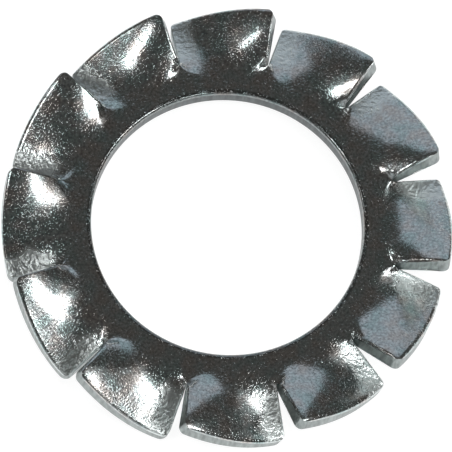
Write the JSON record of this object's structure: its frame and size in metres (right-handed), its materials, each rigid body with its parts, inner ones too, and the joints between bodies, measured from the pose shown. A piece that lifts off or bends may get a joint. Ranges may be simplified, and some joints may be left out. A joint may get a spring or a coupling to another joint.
{
  "type": "toothed lock washer",
  "caption": "Flat sheet-steel lock washer with a plain round bore and a rim slit into teeth, each twisted so one corner stands up and the other hangs down.",
  "frame": {"origin": "centre of the bore, on the middle plane of the flat ring", "axes": "+Z along the bore, out of the face whose edges are rounded by the punch; +X through the middle of one tooth; each tooth's clockwise corner, seen from +Z, stands up"},
  "size_m": [0.0214, 0.0214, 0.0034],
  "materials": {
    "zinc_plated_steel": "bright zinc plating with a finely pitted sheen"
  },
  "bodies": {
    "root": {"lock_washer": "zinc_plated_steel"}
  },
  "joints": []
}
